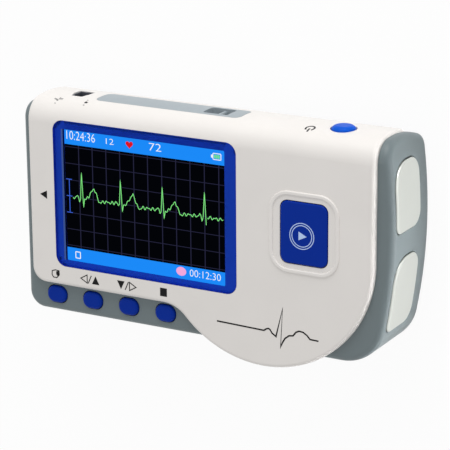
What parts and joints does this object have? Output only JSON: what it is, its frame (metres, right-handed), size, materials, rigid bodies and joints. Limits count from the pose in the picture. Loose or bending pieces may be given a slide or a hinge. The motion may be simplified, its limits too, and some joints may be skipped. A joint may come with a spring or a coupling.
{
  "type": "ecg home monitor",
  "caption": "Handheld heart-rhythm monitor: white front cover with a round lobe, colour display, blue menu, start and power keys, metal end electrodes and a rear battery door.",
  "frame": {"origin": "under the middle of the object's box, on the plane of its flat back", "axes": "+Z out of the display, +Y to the side with the power key and socket, +X to the end with two electrodes"},
  "size_m": [0.1199, 0.0705, 0.0266],
  "materials": {
    "white_shell": "satin white moulded shell",
    "grey_shell": "fine matt blue-grey moulded shell",
    "light_grey_shell": "matt light grey insert",
    "blue_key": "smooth deep blue",
    "blue_border": "blue print behind the window",
    "clear_window": "clear acrylic",
    "display_glass": "dark display glass",
    "black_plastic": "matt black",
    "electrode_metal": "satin metal",
    "contact_metal": "plated contacts",
    "spring_metal": "nickel-plated sheet",
    "battery_skin": "printed sleeve, plain",
    "board_green": "solder-masked board",
    "rubber_mat": "translucent grey silicone",
    "screw_metal": "zinc-plated steel"
  },
  "bodies": {
    "case": {"front_cover": "white_shell", "middle_case": "grey_shell", "right_end_cap": "grey_shell", "rear_cover": "grey_shell", "top_strip": "light_grey_shell", "lanyard_bar": "light_grey_shell", "cable_socket": "black_plastic", "socket_contacts": "contact_metal", "display_window": "clear_window", "window_mask": "blue_border", "display_panel": "display_glass", "panel_holder": "black_plastic", "start_switch": "black_plastic", "power_switch": "black_plastic", "keypad_mat": "rubber_mat", "upper_electrode": "electrode_metal", "lower_electrode": "electrode_metal", "left_electrode": "electrode_metal", "electrode_springs": "spring_metal", "battery_cell_1": "battery_skin", "battery_cell_2": "battery_skin", "battery_plates": "spring_metal", "battery_springs": "spring_metal", "main_board": "board_green", "board_chips": "black_plastic", "rear_screws": "screw_metal", "board_screws": "screw_metal"},
    "menu_key_1": {"menu_key_1": "blue_key"},
    "menu_key_2": {"menu_key_2": "blue_key"},
    "menu_key_3": {"menu_key_3": "blue_key"},
    "menu_key_4": {"menu_key_4": "blue_key"},
    "start_key": {"start_key": "blue_key"},
    "power_key": {"power_key": "blue_key"},
    "battery_door": {"battery_door": "grey_shell"}
  },
  "joints": [
    {"name": "menu_press_1", "type": "slide", "parent": "case", "child": "menu_key_1", "axis": [0, 0, -1], "range_m": [0, 0.0005], "stiffness_N_per_m": 1000, "springref_m": -0.001},
    {"name": "menu_press_2", "type": "slide", "parent": "case", "child": "menu_key_2", "axis": [0, 0, -1], "range_m": [0, 0.0005], "stiffness_N_per_m": 1000, "springref_m": -0.001},
    {"name": "menu_press_3", "type": "slide", "parent": "case", "child": "menu_key_3", "axis": [0, 0, -1], "range_m": [0, 0.0005], "stiffness_N_per_m": 1000, "springref_m": -0.001},
    {"name": "menu_press_4", "type": "slide", "parent": "case", "child": "menu_key_4", "axis": [0, 0, -1], "range_m": [0, 0.0005], "stiffness_N_per_m": 1000, "springref_m": -0.001},
    {"name": "start_press", "type": "slide", "parent": "case", "child": "start_key", "axis": [0, 0, -1], "range_m": [0, 0.0005], "stiffness_N_per_m": 1200, "springref_m": -0.001},
    {"name": "power_press", "type": "slide", "parent": "case", "child": "power_key", "axis": [0, -1, 0], "range_m": [0, 0.0005], "stiffness_N_per_m": 1200, "springref_m": -0.001},
    {"name": "door_slide", "type": "slide", "parent": "case", "child": "battery_door", "axis": [-1, 0, 0], "range_m": [0, 0.008]}
  ]
}
